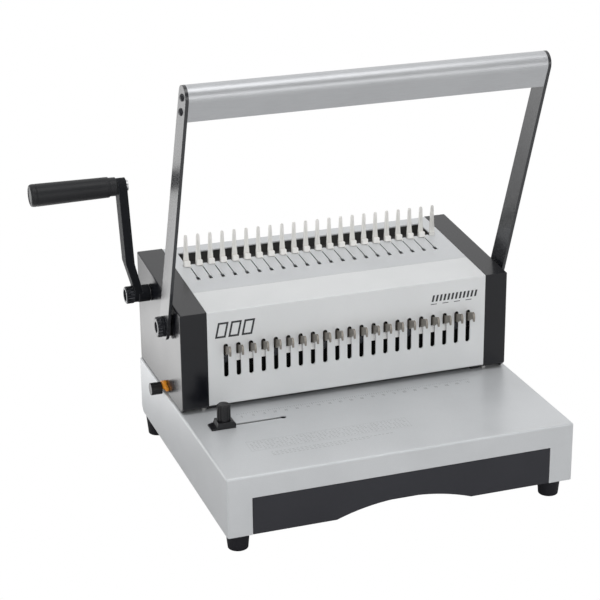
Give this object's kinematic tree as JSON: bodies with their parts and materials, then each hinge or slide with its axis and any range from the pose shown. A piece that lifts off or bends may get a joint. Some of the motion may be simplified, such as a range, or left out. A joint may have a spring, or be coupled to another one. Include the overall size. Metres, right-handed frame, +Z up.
{
  "type": "comb binding machine",
  "caption": "Desk-top comb binding machine with a U-shaped punching handle, a side crank that opens combs, pull-out pin selectors, an edge guide and a chip drawer.",
  "frame": {"origin": "centre of the whole machine's footprint, crank grip included, on the table under the feet", "axes": "+X to the user's right along the row of holes, +Y towards the back, +Z up"},
  "size_m": [0.5268, 0.343, 0.4736],
  "materials": {
    "housing_paint": "fine satin silver powder coat",
    "plated_steel": "zinc-plated sheet",
    "screw_steel": "plated screws",
    "tool_steel": "ground tool steel",
    "dark_steel": "blackened steel",
    "spring_steel": "spring wire",
    "nickel": "dull nickel plate",
    "tab_nickel": "tarnished nickel plate",
    "zinc": "bright zinc plate",
    "tray_plastic": "black moulded plastic",
    "bronze": "sintered bronze",
    "rubber": "black moulded rubber",
    "cap_charcoal": "charcoal moulded plastic, satin gloss",
    "drawer_plastic": "charcoal moulded plastic",
    "arm_enamel": "black enamel",
    "black_bolts": "blackened bolts",
    "bar_aluminium": "fine brushed and clear anodised",
    "black_plastic": "black moulded plastic",
    "grip_plastic": "black moulded grip, satin"
  },
  "bodies": {
    "machine_frame": {"base_housing": "housing_paint", "bottom_plate": "plated_steel", "rubber_feet": "rubber", "frame_screws": "screw_steel", "side_frames": "plated_steel", "end_cap_left": "cap_charcoal", "end_cap_right": "cap_charcoal", "front_cover": "housing_paint", "top_cover": "housing_paint", "rear_cover": "housing_paint", "die_plate": "tool_steel", "guide_plate": "tool_steel", "guide_rods": "tool_steel", "return_springs": "spring_steel", "tine_rake": "nickel", "comb_trough": "tray_plastic", "shaft_bushes": "bronze"},
    "punch_handle": {"handle_arm_left": "arm_enamel", "handle_arm_right": "arm_enamel", "handle_bar": "bar_aluminium", "handle_shaft": "dark_steel", "handle_pinions": "tool_steel", "handle_bolts": "black_bolts"},
    "punch_bar": {"pressure_bar": "dark_steel", "punch_pins": "tool_steel", "selector_strip": "zinc"},
    "crank": {"crank_shaft": "tool_steel", "crank_pinions": "tool_steel", "crank_arm": "arm_enamel", "crank_knob": "black_plastic", "grip_pin": "screw_steel"},
    "crank_grip": {"crank_grip": "grip_plastic"},
    "comb_opener": {"comb_hook_bar": "nickel"},
    "waste_drawer": {"waste_drawer": "drawer_plastic"},
    "edge_guide": {"edge_guide": "black_plastic", "clamp_plate": "plated_steel"},
    "guide_knob": {"guide_knob": "black_plastic"},
    "margin_dial": {"margin_dial": "black_plastic"},
    "back_gauge": {"back_gauge": "plated_steel"},
    "pin_selector_01": {"pin_selector_01": "tab_nickel"},
    "pin_selector_02": {"pin_selector_02": "tab_nickel"},
    "pin_selector_03": {"pin_selector_03": "tab_nickel"},
    "pin_selector_04": {"pin_selector_04": "tab_nickel"},
    "pin_selector_05": {"pin_selector_05": "tab_nickel"},
    "pin_selector_06": {"pin_selector_06": "tab_nickel"},
    "pin_selector_07": {"pin_selector_07": "tab_nickel"},
    "pin_selector_08": {"pin_selector_08": "tab_nickel"},
    "pin_selector_09": {"pin_selector_09": "tab_nickel"},
    "pin_selector_10": {"pin_selector_10": "tab_nickel"},
    "pin_selector_11": {"pin_selector_11": "tab_nickel"},
    "pin_selector_12": {"pin_selector_12": "tab_nickel"},
    "pin_selector_13": {"pin_selector_13": "tab_nickel"},
    "pin_selector_14": {"pin_selector_14": "tab_nickel"},
    "pin_selector_15": {"pin_selector_15": "tab_nickel"},
    "pin_selector_16": {"pin_selector_16": "tab_nickel"},
    "pin_selector_17": {"pin_selector_17": "tab_nickel"},
    "pin_selector_18": {"pin_selector_18": "tab_nickel"},
    "pin_selector_19": {"pin_selector_19": "tab_nickel"},
    "pin_selector_20": {"pin_selector_20": "tab_nickel"},
    "pin_selector_21": {"pin_selector_21": "tab_nickel"}
  },
  "joints": [
    {"name": "handle_swing", "type": "hinge", "parent": "machine_frame", "child": "punch_handle", "pos_m": [0.0586, 0.0385, 0.1785], "axis": [1, 0, 0], "range_deg": [0, 75], "stiffness_Nm_per_rad": 3, "springref_deg": -57.3},
    {"name": "punch_slide", "type": "slide", "parent": "machine_frame", "child": "punch_bar", "axis": [0, 0, -1], "range_m": [0, 0.018], "deforming": ["return_springs"]},
    {"name": "crank_turn", "type": "hinge", "parent": "machine_frame", "child": "crank", "pos_m": [0.0586, 0.1185, 0.189], "axis": [1, 0, 0], "range_deg": [0, 127]},
    {"name": "comb_slide", "type": "slide", "parent": "machine_frame", "child": "comb_opener", "axis": [0, -1, 0], "range_m": [0, 0.02]},
    {"name": "grip_spin", "type": "hinge", "parent": "crank", "child": "crank_grip", "pos_m": [-0.2114, 0.1185, 0.3175], "axis": [1, 0, 0], "continuous": true},
    {"name": "drawer_slide", "type": "slide", "parent": "machine_frame", "child": "waste_drawer", "axis": [0, -1, 0], "range_m": [0, 0.18]},
    {"name": "guide_slide", "type": "slide", "parent": "machine_frame", "child": "edge_guide", "axis": [1, 0, 0], "range_m": [0, 0.066]},
    {"name": "knob_turn", "type": "hinge", "parent": "edge_guide", "child": "guide_knob", "pos_m": [-0.1004, -0.047, 0.1], "axis": [0, 0, 1], "range_deg": [0, 180]},
    {"name": "dial_turn", "type": "hinge", "parent": "machine_frame", "child": "margin_dial", "pos_m": [-0.1414, 0.0685, 0.0928], "axis": [1, 0, 0], "range_deg": [0, 180]},
    {"name": "gauge_slide", "type": "slide", "parent": "machine_frame", "child": "back_gauge", "axis": [0, -1, 0], "range_m": [0, 0.003]},
    {"name": "selector_pull_01", "type": "slide", "parent": "punch_bar", "child": "pin_selector_01", "axis": [0, -1, 0], "range_m": [0, 0.008]},
    {"name": "selector_pull_02", "type": "slide", "parent": "punch_bar", "child": "pin_selector_02", "axis": [0, -1, 0], "range_m": [0, 0.008]},
    {"name": "selector_pull_03", "type": "slide", "parent": "punch_bar", "child": "pin_selector_03", "axis": [0, -1, 0], "range_m": [0, 0.008]},
    {"name": "selector_pull_04", "type": "slide", "parent": "punch_bar", "child": "pin_selector_04", "axis": [0, -1, 0], "range_m": [0, 0.008]},
    {"name": "selector_pull_05", "type": "slide", "parent": "punch_bar", "child": "pin_selector_05", "axis": [0, -1, 0], "range_m": [0, 0.008]},
    {"name": "selector_pull_06", "type": "slide", "parent": "punch_bar", "child": "pin_selector_06", "axis": [0, -1, 0], "range_m": [0, 0.008]},
    {"name": "selector_pull_07", "type": "slide", "parent": "punch_bar", "child": "pin_selector_07", "axis": [0, -1, 0], "range_m": [0, 0.008]},
    {"name": "selector_pull_08", "type": "slide", "parent": "punch_bar", "child": "pin_selector_08", "axis": [0, -1, 0], "range_m": [0, 0.008]},
    {"name": "selector_pull_09", "type": "slide", "parent": "punch_bar", "child": "pin_selector_09", "axis": [0, -1, 0], "range_m": [0, 0.008]},
    {"name": "selector_pull_10", "type": "slide", "parent": "punch_bar", "child": "pin_selector_10", "axis": [0, -1, 0], "range_m": [0, 0.008]},
    {"name": "selector_pull_11", "type": "slide", "parent": "punch_bar", "child": "pin_selector_11", "axis": [0, -1, 0], "range_m": [0, 0.008]},
    {"name": "selector_pull_12", "type": "slide", "parent": "punch_bar", "child": "pin_selector_12", "axis": [0, -1, 0], "range_m": [0, 0.008]},
    {"name": "selector_pull_13", "type": "slide", "parent": "punch_bar", "child": "pin_selector_13", "axis": [0, -1, 0], "range_m": [0, 0.008]},
    {"name": "selector_pull_14", "type": "slide", "parent": "punch_bar", "child": "pin_selector_14", "axis": [0, -1, 0], "range_m": [0, 0.008]},
    {"name": "selector_pull_15", "type": "slide", "parent": "punch_bar", "child": "pin_selector_15", "axis": [0, -1, 0], "range_m": [0, 0.008]},
    {"name": "selector_pull_16", "type": "slide", "parent": "punch_bar", "child": "pin_selector_16", "axis": [0, -1, 0], "range_m": [0, 0.008]},
    {"name": "selector_pull_17", "type": "slide", "parent": "punch_bar", "child": "pin_selector_17", "axis": [0, -1, 0], "range_m": [0, 0.008]},
    {"name": "selector_pull_18", "type": "slide", "parent": "punch_bar", "child": "pin_selector_18", "axis": [0, -1, 0], "range_m": [0, 0.008]},
    {"name": "selector_pull_19", "type": "slide", "parent": "punch_bar", "child": "pin_selector_19", "axis": [0, -1, 0], "range_m": [0, 0.008]},
    {"name": "selector_pull_20", "type": "slide", "parent": "punch_bar", "child": "pin_selector_20", "axis": [0, -1, 0], "range_m": [0, 0.008]},
    {"name": "selector_pull_21", "type": "slide", "parent": "punch_bar", "child": "pin_selector_21", "axis": [0, -1, 0], "range_m": [0, 0.008]}
  ],
  "couplings": [
    {"joint": "punch_slide", "follows": "handle_swing", "m_per_rad": 0.0135},
    {"joint": "comb_slide", "follows": "crank_turn", "m_per_rad": 0.009},
    {"joint": "dial_turn", "follows": "gauge_slide", "rad_per_m": 1047.2}
  ]
}
